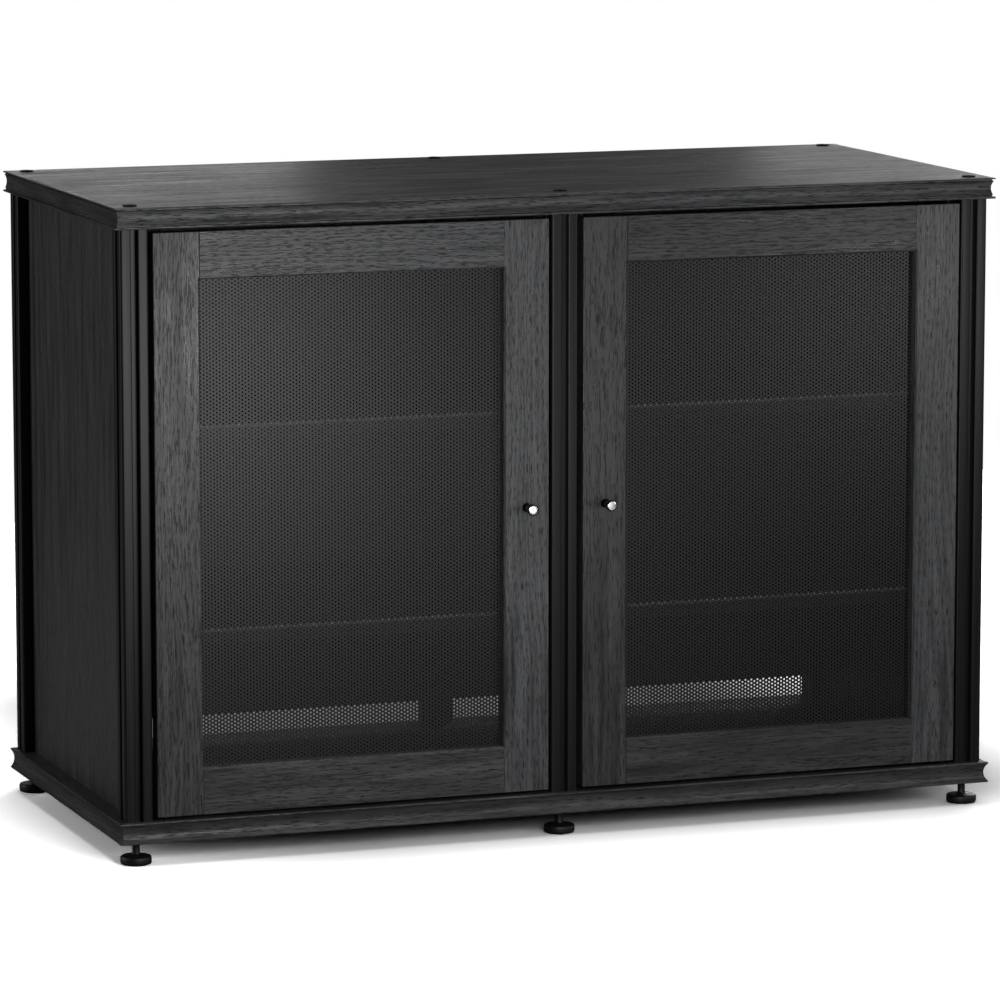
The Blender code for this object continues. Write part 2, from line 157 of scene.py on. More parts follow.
# %% [markdown]
# ## Colours and shader nodes
#
# Colours are written as the hex values that a paint chart would give. Screens store them on the
# sRGB curve, and light adds up on a straight scale, so one function straightens them. One more
# function adds any shader node: it sets plain values and links sockets in one call, which keeps
# a material readable as a list of steps.


# %% Colour and node helpers
def linear(hex_colour):
    """sRGB to linear: c / 12.92 at or below 0.04045, else ((c + 0.055) / 1.055) to the 2.4."""
    c = np.array([int(hex_colour[i : i + 2], 16) for i in (1, 3, 5)]) / 255
    straight = np.where(c <= 0.04045, c / 12.92, ((c + 0.055) / 1.055) ** 2.4)
    return (*straight.tolist(), 1.0)


def add_node(tree, kind, inputs=None, **settings):
    """Add a node. settings are its properties; inputs maps sockets to values or to outputs."""
    node = tree.nodes.new(kind)
    for key, value in settings.items():
        setattr(node, key, value)
    for key, value in (inputs or {}).items():
        if isinstance(value, bpy.types.NodeSocket):
            tree.links.new(value, node.inputs[key])
        else:
            node.inputs[key].default_value = value
    return node


def new_material(name, surface):
    """A material with its Principled shader's own sockets set from the surface dictionary."""
    material = bpy.data.materials.new(name)
    material.use_nodes = True
    shader = material.node_tree.nodes["Principled BSDF"]
    for key, value in surface.items():
        shader.inputs[key].default_value = value
    return material, material.node_tree, shader


MIX_A, MIX_B, MIX_COLOUR = 6, 7, 2
MM = 0.001
print("colour and node helpers ready")

# %% [markdown]
# ## Black-stained oak
#
# The boards are faced with real oak, stained black and given a satin lacquer. Oak is ring
# porous: each year leaves a band of open pores, which show as short dark dashes along the
# grain, between smoother bands that catch the light. The lacquer is thin, so the pores stay
# open and the sheen breaks up over them.
#
# Five noises stretched along the grain make it. A wide one bends the yearly bands, 7 mm apart.
# A fine one, 1 mm wide and 26 mm long, is the fibres. Patches 60 mm wide and streaks 13 mm wide,
# both a few hand widths long, are the uneven stain and gloss of a veneer. The last is the pores:
# real ones are 0.3 mm wide, too fine to show at this size, so they are drawn 0.9 mm wide. The
# grain can run along any of the three axes, so the noise coordinates are divided by the length
# along that axis and by the width across the others. Each board takes one of three tones.
# Veneers do differ in tone, and the tones also paint light and shade: on the doors the paler tone
# goes where highlights fall and the darker one where the door lies in shade, and the side panels
# and side covings take the darker tone. The shelves' upper front edge carries a painted
# highlight, a pale line that stands in for the light the edge catches.


# %% The oak finish
OAK_TONES = {
    "plain": ("#1f2022", "#57585a", 0.0),
    "deep": ("#191a1c", "#4a4b4d", 3.1),
    "light": ("#26272a", "#646567", 7.7),
}
PORE_COLOUR = linear("#0b0c0d")
# The pale line along each shelf's upper front edge is a painted highlight.
PAINTED_EDGE_HIGHLIGHT_COLOUR = linear("#dcdcd8")
PAINTED_HIGHLIGHT_FROM, PAINTED_HIGHLIGHT_TO = 2.6 * MM, 4.4 * MM
YEAR_BAND, DRIFT_IN_BANDS = 7 * MM, 9.0
FAINTEST_BAND, STRONGEST_BAND = 0.15, 0.85
PORE_START, PORE_FULL, PORE_BAND_PULL = 0.485, 0.60, -0.10
FIBRE_TINT, BAND_TINT, STREAK_TINT, PATCH_TINT, BASE_TINT = 1.1, 0.22, 1.5, 0.35, -1.05
FIBRE_ROUGH, PORE_ROUGH, STREAK_ROUGH, BASE_ROUGH = 0.18, 0.16, 0.7, -0.01
PORE_SINK, RELIEF_HEIGHT = -0.8, 0.4 * MM
# Width across and length along the grain in mm, detail, and where the noise is read from.
GRAIN_NOISES = {
    "drift": (45, 520, 2.0, 5.0),
    "fibres": (1.0, 26, 3.0, 11.0),
    "patches": (60, 260, 1.0, 17.0),
    "streaks": (13, 160, 2.0, 31.0),
    "pores": (0.9, 13, 2.0, 23.0),
}
oak_finishes = {}


def black_oak(axis, tone, painted_highlight_edge=None):
    """Oak with its grain along X, Y or Z. Bands = sin(2 pi (across / 7 mm + 9 x drift noise)).
    The last argument, when given, is the (y, z) of an upper front edge, along which a pale
    highlight
    is painted where front and top meet: fully where (y - front) + (top - z) is under 2.6 mm, and
    not at all past 4.4 mm."""
    if (axis, tone, painted_highlight_edge) in oak_finishes:
        return oak_finishes[axis, tone, painted_highlight_edge]
    dark, pale, shift = OAK_TONES[tone]
    surface = {"Roughness": 0.45, "IOR": 1.5, "Coat Weight": 0.12, "Coat Roughness": 0.3}
    edge_name = "" if painted_highlight_edge is None else f"_edge_rubbed_at_{painted_highlight_edge[1] / MM:.0f}"
    name = f"black_stained_oak_{axis.lower()}_{tone}{edge_name}"
    material, tree, shader = new_material(name, surface)
    place = add_node(tree, "ShaderNodeTexCoord").outputs["Object"]

    def grain_noise(kind):
        """Noise with blobs of the listed width across and length along the grain, in mm."""
        across, along, detail, offset = GRAIN_NOISES[kind]
        scale = [1.0 / (MM * (along if name == axis else across)) for name in "XYZ"]
        moved = [offset + shift, 2 * offset - shift, offset + 2 * shift]
        mapped = add_node(
            tree, "ShaderNodeMapping", {"Vector": place, "Location": moved, "Scale": scale}
        )
        return add_node(
            tree,
            "ShaderNodeTexNoise",
            {"Vector": mapped.outputs[0], "Scale": 1.0, "Detail": detail, "Roughness": 0.55},
        ).outputs[0]

    split = add_node(tree, "ShaderNodeSeparateXYZ", {0: place})
    first, second = [split.outputs[name] for name in "XYZ" if name != axis]
    across = add_node(tree, "ShaderNodeMath", {0: first, 1: second}, operation="ADD")
    drift = grain_noise("drift")
    turns = add_node(
        tree,
        "ShaderNodeMath",
        {0: across.outputs[0], 1: 1 / YEAR_BAND, 2: 0.0},
        operation="MULTIPLY_ADD",
    )
    bent = add_node(
        tree,
        "ShaderNodeMath",
        {0: drift, 1: DRIFT_IN_BANDS, 2: turns.outputs[0]},
        operation="MULTIPLY_ADD",
    )
    angle = add_node(
        tree, "ShaderNodeMath", {0: bent.outputs[0], 1: math.tau}, operation="MULTIPLY"
    )
    wave = add_node(tree, "ShaderNodeMath", {0: angle.outputs[0]}, operation="SINE")
    bands = add_node(
        tree,
        "ShaderNodeMapRange",
        {0: wave.outputs[0], 1: -1.0, 2: 1.0, 3: FAINTEST_BAND, 4: STRONGEST_BAND},
    ).outputs[0]
    fibres, patches, streaks = [grain_noise(kind) for kind in ("fibres", "patches", "streaks")]

    pore_noise = grain_noise("pores")
    band_pull = add_node(
        tree,
        "ShaderNodeMath",
        {0: bands, 1: PORE_BAND_PULL, 2: pore_noise},
        operation="MULTIPLY_ADD",
    )
    pores = add_node(
        tree,
        "ShaderNodeMapRange",
        {0: band_pull.outputs[0], 1: PORE_START, 2: PORE_FULL, 3: 0.0, 4: 1.0},
        interpolation_type="SMOOTHSTEP",
    ).outputs[0]

    tint = add_node(
        tree,
        "ShaderNodeMath",
        {0: fibres, 1: FIBRE_TINT, 2: BASE_TINT},
        operation="MULTIPLY_ADD",
    )
    banded = add_node(
        tree,
        "ShaderNodeMath",
        {0: bands, 1: BAND_TINT, 2: tint.outputs[0]},
        operation="MULTIPLY_ADD",
    )
    streaked = add_node(
        tree,
        "ShaderNodeMath",
        {0: streaks, 1: STREAK_TINT, 2: banded.outputs[0]},
        operation="MULTIPLY_ADD",
    )
    toned = add_node(
        tree,
        "ShaderNodeMath",
        {0: patches, 1: PATCH_TINT, 2: streaked.outputs[0]},
        operation="MULTIPLY_ADD",
        use_clamp=True,
    )
    wood = add_node(
        tree,
        "ShaderNodeMix",
        {0: toned.outputs[0], MIX_A: linear(dark), MIX_B: linear(pale)},
        data_type="RGBA",
    )
    stained = add_node(
        tree,
        "ShaderNodeMix",
        {0: pores, MIX_A: wood.outputs[MIX_COLOUR], MIX_B: PORE_COLOUR},
        data_type="RGBA",
    )
    # Painted highlight: a pale line where the shelf's front and top meet.
    if painted_highlight_edge is not None:
        edge = painted_highlight_edge[0] - painted_highlight_edge[1]
        inward = add_node(
            tree,
            "ShaderNodeMath",
            {0: split.outputs["Y"], 1: split.outputs["Z"]},
            operation="SUBTRACT",
        )
        painted_highlight_mask = add_node(
            tree,
            "ShaderNodeMapRange",
            {0: inward.outputs[0], 1: edge + PAINTED_HIGHLIGHT_FROM, 2: edge + PAINTED_HIGHLIGHT_TO, 3: 1.0, 4: 0.0},
        )
        stained = add_node(
            tree,
            "ShaderNodeMix",
            {0: painted_highlight_mask.outputs[0], MIX_A: stained.outputs[MIX_COLOUR], MIX_B: PAINTED_EDGE_HIGHLIGHT_COLOUR},
            data_type="RGBA",
        )
    sheen_break = add_node(
        tree,
        "ShaderNodeMath",
        {0: pores, 1: PORE_ROUGH, 2: BASE_ROUGH},
        operation="MULTIPLY_ADD",
    )
    streak_gloss = add_node(
        tree,
        "ShaderNodeMath",
        {0: streaks, 1: STREAK_ROUGH, 2: sheen_break.outputs[0]},
        operation="MULTIPLY_ADD",
    )
    rough = add_node(
        tree,
        "ShaderNodeMath",
        {0: fibres, 1: FIBRE_ROUGH, 2: streak_gloss.outputs[0]},
        operation="MULTIPLY_ADD",
    )
    depth = add_node(
        tree, "ShaderNodeMath", {0: pores, 1: PORE_SINK, 2: fibres}, operation="MULTIPLY_ADD"
    )
    relief = add_node(
        tree,
        "ShaderNodeBump",
        {"Height": depth.outputs[0], "Distance": RELIEF_HEIGHT, "Strength": 0.7},
    )
    tree.links.new(stained.outputs[MIX_COLOUR], shader.inputs["Base Color"])
    tree.links.new(rough.outputs[0], shader.inputs["Roughness"])
    tree.links.new(relief.outputs[0], shader.inputs["Normal"])
    oak_finishes[axis, tone, painted_highlight_edge] = material
    return material


print("oak tones:", ", ".join(OAK_TONES))

# %% [markdown]
# ## Metals and plastic
#
# The posts are extruded aluminium, anodised black: the oxide layer is dyed, so the metal looks
# dark grey with a silky sheen, and the die leaves faint lines along it. The screens are
# perforated steel with a black powder coat, which dries with a slight orange-peel texture. The
# knobs are black nickel with a polished bright face. The bolts and the door pins are oxide
# black, the strike plates bright zinc, and the feet and catches moulded nylon with a fine spark
# texture.


# %% A finish with one stretched noise
def noisy_finish(name, surface, low_colour, high_colour, widths, roughness, relief):
    """Colour and roughness run between two values with a noise of the given widths in mm."""
    material, tree, shader = new_material(name, surface)
    place = add_node(tree, "ShaderNodeTexCoord").outputs["Object"]
    scale = [1.0 / (MM * width) for width in widths]
    mapped = add_node(tree, "ShaderNodeMapping", {"Vector": place, "Scale": scale})
    noise = add_node(
        tree,
        "ShaderNodeTexNoise",
        {"Vector": mapped.outputs[0], "Scale": 1.0, "Detail": 2.0, "Roughness": 0.5},
    ).outputs[0]
    spread = add_node(
        tree, "ShaderNodeMapRange", {0: noise, 1: 0.3, 2: 0.7, 3: 0.0, 4: 1.0}
    ).outputs[0]
    colour = add_node(
        tree,
        "ShaderNodeMix",
        {0: spread, MIX_A: linear(low_colour), MIX_B: linear(high_colour)},
        data_type="RGBA",
    )
    rough = add_node(
        tree, "ShaderNodeMapRange", {0: noise, 1: 0.3, 2: 0.7, 3: roughness[0], 4: roughness[1]}
    )
    bump = add_node(
        tree, "ShaderNodeBump", {"Height": noise, "Distance": relief * MM, "Strength": 0.5}
    )
    tree.links.new(colour.outputs[MIX_COLOUR], shader.inputs["Base Color"])
    tree.links.new(rough.outputs[0], shader.inputs["Roughness"])
    tree.links.new(bump.outputs[0], shader.inputs["Normal"])
    return material


ANODISED = noisy_finish(
    "black_anodised_aluminium_extruded",
    {"Metallic": 0.65},
    "#1f1f20",
    "#2d2d2e",
    (0.8, 0.8, 160),
    (0.34, 0.44),
    0.05,
)
POWDER_COAT = noisy_finish(
    "perforated_steel_powder_coated",
    {"IOR": 1.5},
    "#0e0e0f",
    "#151516",
    (1.6, 1.6, 1.6),
    (0.38, 0.48),
    0.12,
)
OXIDE_BLACK = noisy_finish(
    "steel_black_oxide", {"IOR": 1.3}, "#050506", "#0c0c0d", (0.7, 0.7, 0.7), (0.5, 0.65), 0.04
)
BRIGHT_ZINC = noisy_finish(
    "steel_bright_zinc_plated",
    {"Metallic": 1.0},
    "#b9bcc0",
    "#d2d5d8",
    (1.2, 1.2, 6),
    (0.24, 0.38),
    0.03,
)
NYLON = noisy_finish(
    "nylon_moulded_spark_texture",
    {"IOR": 1.53},
    "#0b0b0c",
    "#151517",
    (0.6, 0.6, 0.6),
    (0.4, 0.55),
    0.08,
)
BLACK_NICKEL = noisy_finish(
    "black_nickel_satin",
    {"Metallic": 1.0},
    "#0d0d0f",
    "#18181b",
    (0.5, 0.5, 2),
    (0.26, 0.36),
    0.03,
)
POLISHED_NICKEL = noisy_finish(
    "nickel_polished", {"Metallic": 1.0}, "#f2f2f0", "#fbfbf9", (3, 3, 3), (0.2, 0.26), 0.01
)
print("six metals and one plastic")

# %% [markdown]
# ## The camera
#
# The cabinet is seen from its front left, a little above the top, through a long lens that
# keeps its edges nearly parallel. The camera's height puts the top in view as a narrow band.

# %% Camera
LOOKS_DOWN, LOOKS_RIGHT = 8.6549, 19.8315
camera = bpy.data.objects.new("camera", bpy.data.cameras.new("camera"))
bpy.context.scene.collection.objects.link(camera)
camera.data.sensor_width = 36.0
camera.data.lens = 205.28
camera.data.clip_end = 200.0
camera.location = (-2.4013, -6.6618, 1.4597)
camera.rotation_euler = (math.radians(90 - LOOKS_DOWN), 0.0, math.radians(-LOOKS_RIGHT))
bpy.context.scene.camera = camera
bpy.context.scene.view_settings.view_transform = "Standard"
print("camera at", tuple(camera.location))

# %% [markdown]
# ## The coved mouldings
#
# Each board is edged on its front and sides with a moulding: a hollow cove between two rounded
# lips. On the top board a narrow notch beside each lip reads as a black line. A router bit would
# cut it, and the corners are mitred. The section is a short list of arcs. Along the front, a
# point that lies further out also reaches further along X, which makes the mitre by itself.


# %% The cove section
LIPPING = 7.5 * MM
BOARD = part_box("top_board")[1].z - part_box("top_board")[0].z
LIP = 1.8 * MM
LIP_ROUND = 1.5 * MM
COVE = 4.7 * MM
NOTCH_DEPTH = 3.4 * MM
NOTCH_EASE = 0.1 * MM


def lip_section(lip_height, notch_height):
    """A lip rounded by a quarter arc, then a notch 3.4 mm deep if it has any height."""
    turn = np.linspace(-math.pi / 2, 0.0, 6)
    lip = np.stack([LIP_ROUND * (np.cos(turn) - 1), LIP_ROUND * (np.sin(turn) + 1)], 1)
    points = [[(-LIPPING, 0.0)], lip]
    if notch_height:
        points += [[(0.0, lip_height), (-NOTCH_DEPTH, lip_height + NOTCH_EASE)]]
        points += [[(-NOTCH_DEPTH, lip_height + notch_height)]]
    return np.vstack(points)


def cove_section(lower_lip, upper_lip):
    """(outward, up) points: a circle's arc 4.7 mm deep between two lips (height, notch height)."""
    chord = BOARD - 2 * LIP
    radius = ((chord / 2) ** 2 + COVE**2) / (2 * COVE)
    half = math.asin(chord / 2 / radius)
    sweep = np.linspace(-half, half, 25)
    depth = radius * (math.cos(half) - np.cos(sweep))
    arc = np.stack([depth, BOARD / 2 + radius * np.sin(sweep)], 1)
    lower, upper = lip_section(*lower_lip), lip_section(*upper_lip)
    upper = np.stack([upper[:, 0], BOARD - upper[:, 1]], 1)[::-1]
    between = (arc[:, 1] > lower[-1, 1]) & (arc[:, 1] < upper[0, 1])
    return np.vstack([lower, arc[between], upper])


SECTIONS = {
    "top": cove_section((2.6 * MM, 1.9 * MM), (1.6 * MM, 1.8 * MM)),
    "bottom": cove_section((LIP, 0.0), (LIP, 0.0)),
}
print("cove sections of", [len(section) for section in SECTIONS.values()], "points")

# %% Six mouldings
left_x, front_y = cad_low.x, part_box("top_front_moulding")[0].y
back_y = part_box("top_board")[1].y
for level, tone in (("top", "light"), ("bottom", "plain")):
    low_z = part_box(f"{level}_board")[0].z
    out, up = SECTIONS[level].T
    along = np.linspace(-1.0, 1.0, 41)[:, None]
    x, y, z = along * (-left_x + out), 0 * along + front_y - out, 0 * along + low_z + up
    front = swept(np.stack([x, y, z], -1))
    piece = new_piece(f"{level}_front_coving", *front, [black_oak("X", tone)])
    fit_piece(piece, f"{level}_front_moulding")
    along = np.linspace(0.0, 1.0, 21)[:, None]
    for side, sign in (("left", -1), ("right", 1)):
        start = front_y - out
        run = start + along * (back_y - start)
        rings = np.stack([0 * run + sign * (-left_x + out), run, 0 * run + low_z + up], -1)
        piece = new_piece(f"{level}_{side}_coving", *swept(rings), [black_oak("Y", "deep")])
        fit_piece(piece, f"{level}_{side}_moulding")
print("six mouldings")

# %% [markdown]
# ## The slotted posts
#
# The posts are a 35 mm square extrusion with a slot along each face for a panel. The corners
# and the slots' lips are well rounded, so each land between them shows a bright line on one side
# and a dark one on the other. A quarter of the section is drawn and turned four times.


# %% The post section
POST_HALF = 17.5 * MM
SLOT_HALF = 4.0 * MM
SLOT_DEPTH = 8.5 * MM
SLOT_FLOOR = POST_HALF - SLOT_DEPTH


def arc_points(centre_x, centre_y, radius, start, end, steps):
    """Points on a circle: centre plus radius times (cos a, sin a), angles in degrees."""
    angle = np.radians(np.linspace(start, end, steps))
    return np.stack([centre_x + radius * np.cos(angle), centre_y + radius * np.sin(angle)], 1)


def post_section(corner=3.0 * MM, lip=1.8 * MM):
    """A quarter, from the slot's floor on +X over its lip and round the corner to the slot on
    +Y, then the same quarter turned by 90, 180 and 270 degrees."""
    inner = SLOT_HALF + lip
    middle = POST_HALF - corner
    quarter = np.vstack(
        [
            [(SLOT_FLOOR, SLOT_HALF)],
            arc_points(POST_HALF - lip, inner, lip, -90, 0, 6),
            arc_points(middle, middle, corner, 0, 90, 9),
            arc_points(inner, POST_HALF - lip, lip, 90, 180, 6),
            [(SLOT_HALF, SLOT_FLOOR)],
        ]
    )
    turns = [np.array([[c, s], [-s, c]]) for c, s in ((1, 0), (0, 1), (-1, 0), (0, -1))]
    return np.vstack([quarter @ turn for turn in turns])


POST_SECTION = post_section()
print("post section of", len(POST_SECTION), "points")

# %% Six posts
for row in ("front", "rear"):
    for column in ("left", "centre", "right"):
        node = f"post_{row}_{column}"
        low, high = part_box(node)
        height = np.linspace(low.z, high.z, 9)[:, None]
        x, y = (POST_SECTION + np.array(((low + high) / 2).xy)).T
        rings = np.stack([0 * height + x, 0 * height + y, height + 0 * x], -1)
        post = new_piece(f"{row}_{column}_post", *swept(rings), [ANODISED])
        fit_piece(post, node)
print("six posts")

# %% [markdown]
# ## The perforated screens
#
# Each door holds a sheet of steel punched with round holes in a staggered pattern, 4.6 mm from
# hole to hole. Every hole sits in its own six-sided cell and the cells meet like a honeycomb, so
# a sheet is one cell repeated: six corners, six hole points and six quads. The whole field is
# worked out at once, and points that neighbouring cells share are merged. Thousands of holes
# have to stay light, so a hole has six sides, and the sheet is a single skin. The size of the
# holes sets how much of the dark inside and of the pale floor behind shows through.

# %% A field of punched cells
PITCH = 4.6 * MM
HOLE_RADIUS = 1.22 * MM
HOLE_TURN = 0.52
MERGE_STEPS = 2e4


def punched_sheet(low, high, y):
    """Cell centres stand at (1.5 R i, sqrt(3) R (j + half for odd i)), R = pitch / sqrt(3).
    A hole's corners are turned half a side from its cell's. Points that round to the same
    0.05 mm are one point."""
    reach = PITCH / math.sqrt(3)
    columns = int((high.x - low.x) // (1.5 * reach))
    rows = int((high.z - low.z) // PITCH)
    i, j = np.meshgrid(np.arange(columns), np.arange(rows), indexing="ij")
    x = (low.x + high.x) / 2 + (i - (columns - 1) / 2) * 1.5 * reach
    z = (low.z + high.z) / 2 + (j - (rows - 0.5) / 2 + 0.5 * (i % 2)) * PITCH
    angle = np.arange(6) * math.pi / 3
    ring = np.stack([np.cos(angle), np.sin(angle)], 1)
    tilted = np.stack([np.cos(angle + HOLE_TURN), np.sin(angle + HOLE_TURN)], 1)
    centres = np.stack([x.ravel(), z.ravel()], 1)[:, None, :]
    cells = np.concatenate([centres + reach * ring, centres + HOLE_RADIUS * tilted], axis=1)
    flat = cells.reshape(-1, 2)
    keys, first, index = np.unique(
        np.round(flat * MERGE_STEPS).astype(np.int64),
        axis=0,
        return_index=True,
        return_inverse=True,
    )
    points = flat[first]
    corner = np.arange(6)
    following = (corner + 1) % 6
    quad = np.stack([corner, following, following + 6, corner + 6], 1)
    faces = (np.arange(len(centres))[:, None, None] * 12 + quad).reshape(-1, 4)
    faces = index.reshape(-1)[faces]
    return np.stack([points[:, 0], 0 * points[:, 0] + y, points[:, 1]], 1), faces, len(centres)


# %% Two screens
for door in ("left_door", "right_door"):
    low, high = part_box(f"{door}_mesh_panel")
    points, faces, holes = punched_sheet(low, high, (low.y + high.y) / 2)
    screen = new_piece(f"{door}_screen", points, faces.tolist(), [POWDER_COAT])
    fit_piece(screen, f"{door}_mesh_panel")
    print(screen.name, "has", holes, "holes and", 2 * len(faces), "triangles")

# %% [markdown]
# ## Knobs
#
# A knob is turned on a lathe from a bar: a slim neck that flares to a head, then a face that is
# polished bright inside a dark rim. The black plating is masked off the face, so the bright disc
# has a clean edge. The face is slightly domed, which spreads its highlight.


# %% Turned knobs
def turned_piece(name, profile, columns, centre, materials, tip_to_front=False):
    """A profile turned round Z, or round -Y when it points to the front, moved to its centre."""
    rings = turned(profile, columns)
    if tip_to_front:
        rings = np.stack([rings[..., 0], -rings[..., 2], rings[..., 1]], -1)
    return new_piece(name, *swept(rings + np.array(centre)), materials)


KNOB_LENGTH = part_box("left_door_latch_stile")[0].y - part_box("left_door_knob")[0].y
FACE_DOME = 0.1 * MM
NEAR_AXIS = 0.02 * MM
KNOB_PROFILE = [
    (2.0 * MM, -17.0 * MM),
    (2.0 * MM, 0.3 * MM),
    (5.5 * MM, 0.3 * MM),
    (5.4 * MM, 0.9 * MM),
    (4.8 * MM, 1.5 * MM),
    (4.2 * MM, 3.2 * MM),
    (4.0 * MM, 5.2 * MM),
    (4.1 * MM, 7.6 * MM),
    (4.4 * MM, 10.0 * MM),
    (5.2 * MM, 14.0 * MM),
    (6.2 * MM, 18.0 * MM),
    (6.7 * MM, 20.6 * MM),
    (6.8 * MM, 21.6 * MM),
    (6.8 * MM, 23.2 * MM),
    (6.6 * MM, KNOB_LENGTH - 0.55 * MM),
    (6.2 * MM, KNOB_LENGTH - 0.2 * MM),
    (5.6 * MM, KNOB_LENGTH - 0.15 * MM),
    (5.45 * MM, KNOB_LENGTH - FACE_DOME),
    (4.0 * MM, KNOB_LENGTH - 0.05 * MM),
    (2.0 * MM, KNOB_LENGTH - 0.01 * MM),
    (NEAR_AXIS, KNOB_LENGTH),
]
for door in ("left_door", "right_door"):
    low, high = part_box(f"{door}_knob")
    centre = ((low.x + high.x) / 2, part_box(f"{door}_latch_stile")[0].y, (low.z + high.z) / 2)
    knob = turned_piece(
        f"{door}_turned_knob", KNOB_PROFILE, 64, centre, [BLACK_NICKEL, POLISHED_NICKEL], True
    )
    bright_from = centre[1] - KNOB_LENGTH + 1.01 * FACE_DOME
    for polygon in knob.data.polygons:
        polygon.material_index = int(polygon.center.y < bright_from)
    fit_piece(knob, f"{door}_knob")
print("two knobs,", round(KNOB_LENGTH / MM, 1), "mm long")

# %% [markdown]
# ## Bolts and feet
#
# A bolt goes down through the top board into each post. Its thin round head has a six-sided
# socket for a key. Seen from above, the socket is the only thing that breaks the black disc, so
# the inner rings of the head change from a circle to a hexagon. The levelling feet are moulded
# discs on a smooth stem, with a shallow dish on top and a softened edge.


# %% Bolt heads
KEY_HALF, SHANK_RADIUS, HEAD_RADIUS = 2.5 * MM, 4.0 * MM, 8.5 * MM
HEAD_CLEARANCE = 0.3 * MM


def bolt_rings(head_low, head_high, tip):
    """Rings from the tip up the shank, out over the head and into the socket, whose radius is
    (key / 2) / cos(angle from the nearest flat's middle)."""
    angle = np.linspace(0.0, math.tau, 48, endpoint=False)
    flat = KEY_HALF / np.cos((angle + math.pi / 6) % (math.pi / 3) - math.pi / 6)
    round_rings = [
        (SHANK_RADIUS, tip),
        (SHANK_RADIUS, head_low),
        (HEAD_RADIUS, head_low),
        (HEAD_RADIUS, head_high - 0.55 * MM),
        (8.3 * MM, head_high - 0.2 * MM),
        (7.9 * MM, head_high - 0.03 * MM),
        (7.4 * MM, head_high),
        (3.9 * MM, head_high),
    ]
    hex_rings = [(1.06, head_high), (1.0, head_high - 0.15 * MM), (1.0, head_low + 0.1 * MM)]
    rings = [(radius + 0 * angle, height) for radius, height in round_rings]
    rings += [(share * flat, height) for share, height in hex_rings]
    rings += [(0.02 * flat, head_low + 0.02 * MM)]
    return np.stack(
        [np.stack([r * np.cos(angle), r * np.sin(angle), h + 0 * angle], -1) for r, h in rings]
    )


for row in ("front", "rear"):
    for column in ("left", "centre", "right"):
        node = f"post_bolt_{row}_{column}"
        low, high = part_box(node)
        head_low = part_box("top_board")[1].z + HEAD_CLEARANCE
        rings = bolt_rings(head_low, high.z, low.z)
        centre = np.array([(low.x + high.x) / 2, (low.y + high.y) / 2, 0.0])
        bolt = new_piece(f"{row}_{column}_bolt", *swept(rings + centre), [OXIDE_BLACK], 30.0)
        fit_piece(bolt, node)
print("six bolts with sockets")

# %% Levelling feet
FOOT_PROFILE = [
    (NEAR_AXIS, 0.0),
    (15.5 * MM, 0.0),
    (17.2 * MM, 0.25 * MM),
    (18.4 * MM, 1.2 * MM),
    (18.95 * MM, 2.6 * MM),
    (19.0 * MM, 3.6 * MM),
    (18.7 * MM, 3.8 * MM),
    (18.7 * MM, 4.2 * MM),
    (19.0 * MM, 4.4 * MM),
    (19.0 * MM, 7.6 * MM),
    (18.7 * MM, 9.0 * MM),
    (17.9 * MM, 10.1 * MM),
    (16.6 * MM, 10.6 * MM),
    (13.0 * MM, 10.9 * MM),
    (9.0 * MM, 11.2 * MM),
    (6.2 * MM, 11.6 * MM),
    (5.0 * MM, 12.6 * MM),
    (4.65 * MM, 14.0 * MM),
]
for row in ("front", "rear"):
    for column in ("left", "centre", "right"):
        node = f"foot_{row}_{column}"
        low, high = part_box(node)
        stem = [(4.65 * MM, 26.8 * MM), (SHANK_RADIUS, 27.4 * MM)]
        stem += [(SHANK_RADIUS, high.z), (NEAR_AXIS, high.z)]
        centre = ((low.x + high.x) / 2, (low.y + high.y) / 2, 0.0)
        foot = turned_piece(f"{row}_{column}_foot_pad", FOOT_PROFILE + stem, 64, centre, [NYLON])
        fit_piece(foot, node)
print("six feet")

# %% [markdown]
# ## Finishes for the boards, frames and fittings
#
# The flat boards already have their right shape in the frame, with the eased edges and the
# bevel round each window, so they stay and only take their wood. Grain follows the long side of
# a board: upright in stiles and side panels, level in rails, shelves and the top.

# %% Finishes on CAD nodes
GRAIN_AND_TONE = {
    "top_board": ("X", "plain"),
    "bottom_board": ("X", "deep"),
    "left_side_panel": ("Z", "deep"),
    "right_side_panel": ("Z", "deep"),
    "left_back_panel": ("Z", "deep"),
    "right_back_panel": ("Z", "deep"),
}
for bay in ("left", "right", "centre"):
    for level in ("lower", "upper"):
        GRAIN_AND_TONE[f"{bay}_{level}_shelf_rail"] = ("Y", "deep")
        if bay != "centre":
            # Shelves get a painted highlight along their upper front edge.
            shelf = f"{bay}_{level}_shelf"
            edge = (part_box(shelf)[0].y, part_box(shelf)[1].z)
            GRAIN_AND_TONE[shelf] = ("X", "deep", edge)
MEMBERS = ("hinge_stile", "latch_stile", "top_rail", "bottom_rail")
# Door tones are painted light and shade: the paler tone on the members where highlights fall, the
# darker one on the right door's members, which lie in shade.
DOOR_LIT_AND_SHADED_TONES = {
    "left": ("plain", "light", "light", "plain"),
    "right": ("light", "deep", "deep", "deep"),
}
FITTINGS = {}
for bay, tones in DOOR_LIT_AND_SHADED_TONES.items():
    for member, grain, tone in zip(MEMBERS, "ZZXX", tones):
        GRAIN_AND_TONE[f"{bay}_door_{member}"] = (grain, tone)
    FITTINGS[f"{bay}_magnet_catch"] = NYLON
    FITTINGS[f"{bay}_door_top_pin"] = FITTINGS[f"{bay}_door_bottom_pin"] = OXIDE_BLACK
    FITTINGS[f"{bay}_door_strike_plate"] = BRIGHT_ZINC
finishes = {node: black_oak(*choice) for node, choice in GRAIN_AND_TONE.items()} | FITTINGS
for node, finish in finishes.items():
    mesh = NODES[node].data
    mesh.materials.clear()
    mesh.materials.append(finish)
print(len(finishes), "CAD nodes finished")
